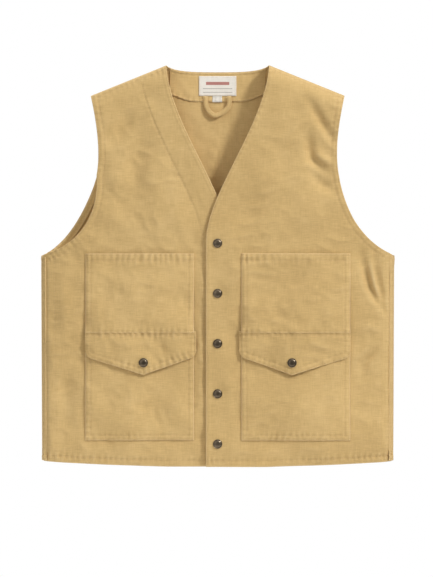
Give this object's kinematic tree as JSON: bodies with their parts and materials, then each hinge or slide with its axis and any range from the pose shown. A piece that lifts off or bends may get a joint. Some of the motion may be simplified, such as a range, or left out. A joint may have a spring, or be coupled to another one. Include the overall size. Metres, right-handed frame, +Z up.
{
  "type": "fishing vest",
  "caption": "Sleeveless canvas fishing vest with a V neck, a snap-closed front, double patch pockets with snapped flaps, and a full-width rear pocket reached from the sides.",
  "frame": {"origin": "midway between the high points of the two shoulders, at mid depth, where a wearer or a hanger carries the vest", "axes": "+Z up, -Y out of the front, +X to the wearer's left"},
  "size_m": [0.5734, 0.0626, 0.651],
  "materials": {
    "canvas": "washed cotton canvas, fine plain weave, twin-needle seams",
    "canvas_inside": "inner side of the same canvas",
    "label_weave": "smooth woven label, plain",
    "dark_brass": "antiqued brass snap caps, semi-gloss",
    "snap_metal": "dull brass snap parts"
  },
  "bodies": {
    "back": {"back_panel": "canvas", "back_neck_facing": "canvas_inside", "rear_pocket": "canvas", "neck_label": "label_weave", "left_front_yoke": "canvas", "left_arm_facing_front": "canvas_inside", "left_arm_facing_back": "canvas_inside", "left_upper_pocket_corner": "canvas", "right_front_yoke": "canvas", "right_arm_facing_front": "canvas_inside", "right_arm_facing_back": "canvas_inside", "right_upper_pocket_corner": "canvas"},
    "left_front": {"left_front_panel": "canvas", "left_front_facing": "canvas_inside", "left_upper_pocket": "canvas", "left_lower_pocket": "canvas", "front_snap_cap_1": "dark_brass", "front_snap_socket_1": "snap_metal", "front_snap_cap_2": "dark_brass", "front_snap_socket_2": "snap_metal", "front_snap_cap_3": "dark_brass", "front_snap_socket_3": "snap_metal", "front_snap_cap_4": "dark_brass", "front_snap_socket_4": "snap_metal", "front_snap_cap_5": "dark_brass", "front_snap_socket_5": "snap_metal", "left_flap_stud": "snap_metal", "left_flap_post": "snap_metal"},
    "right_front": {"right_front_panel": "canvas", "right_front_facing": "canvas_inside", "right_upper_pocket": "canvas", "right_lower_pocket": "canvas", "front_snap_stud_1": "snap_metal", "front_snap_post_1": "snap_metal", "front_snap_stud_2": "snap_metal", "front_snap_post_2": "snap_metal", "front_snap_stud_3": "snap_metal", "front_snap_post_3": "snap_metal", "front_snap_stud_4": "snap_metal", "front_snap_post_4": "snap_metal", "front_snap_stud_5": "snap_metal", "front_snap_post_5": "snap_metal", "right_flap_stud": "snap_metal", "right_flap_post": "snap_metal"},
    "left_flap": {"left_flap": "canvas", "left_flap_lining": "canvas_inside", "left_flap_cap": "dark_brass", "left_flap_socket": "snap_metal"},
    "right_flap": {"right_flap": "canvas", "right_flap_lining": "canvas_inside", "right_flap_cap": "dark_brass", "right_flap_socket": "snap_metal"},
    "hanger_loop": {"hanger_loop": "canvas"},
    "size_tag": {"size_tag": "label_weave"}
  },
  "joints": [
    {"name": "left_front_fold", "type": "hinge", "parent": "back", "child": "left_front", "pos_m": [0.28, -0.0212, -0.651], "axis": [-0.2891, 0, 0.9573], "range_deg": [0, 60]},
    {"name": "right_front_fold", "type": "hinge", "parent": "back", "child": "right_front", "pos_m": [-0.28, -0.0148, -0.651], "axis": [-0.2891, 0, -0.9573], "range_deg": [0, 48]},
    {"name": "left_flap_lift", "type": "hinge", "parent": "left_front", "child": "left_flap", "pos_m": [0.118, -0.035, -0.43215], "axis": [-1, 0, 0], "range_deg": [0, 140]},
    {"name": "right_flap_lift", "type": "hinge", "parent": "right_front", "child": "right_flap", "pos_m": [-0.118, -0.0286, -0.43215], "axis": [-1, 0, 0], "range_deg": [0, 140]},
    {"name": "hanger_loop_swing", "type": "hinge", "parent": "back", "child": "hanger_loop", "pos_m": [0, 0.0118, -0.049], "axis": [-1, 0, 0], "range_deg": [0, 150]},
    {"name": "size_tag_flip", "type": "hinge", "parent": "back", "child": "size_tag", "pos_m": [-0.0005, 0.01415, -0.0487], "axis": [-1, 0, 0], "range_deg": [0, 80]}
  ],
  "couplings": [
    {"joint": "right_front_fold", "follows": "left_front_fold", "ratio": 0.8}
  ]
}
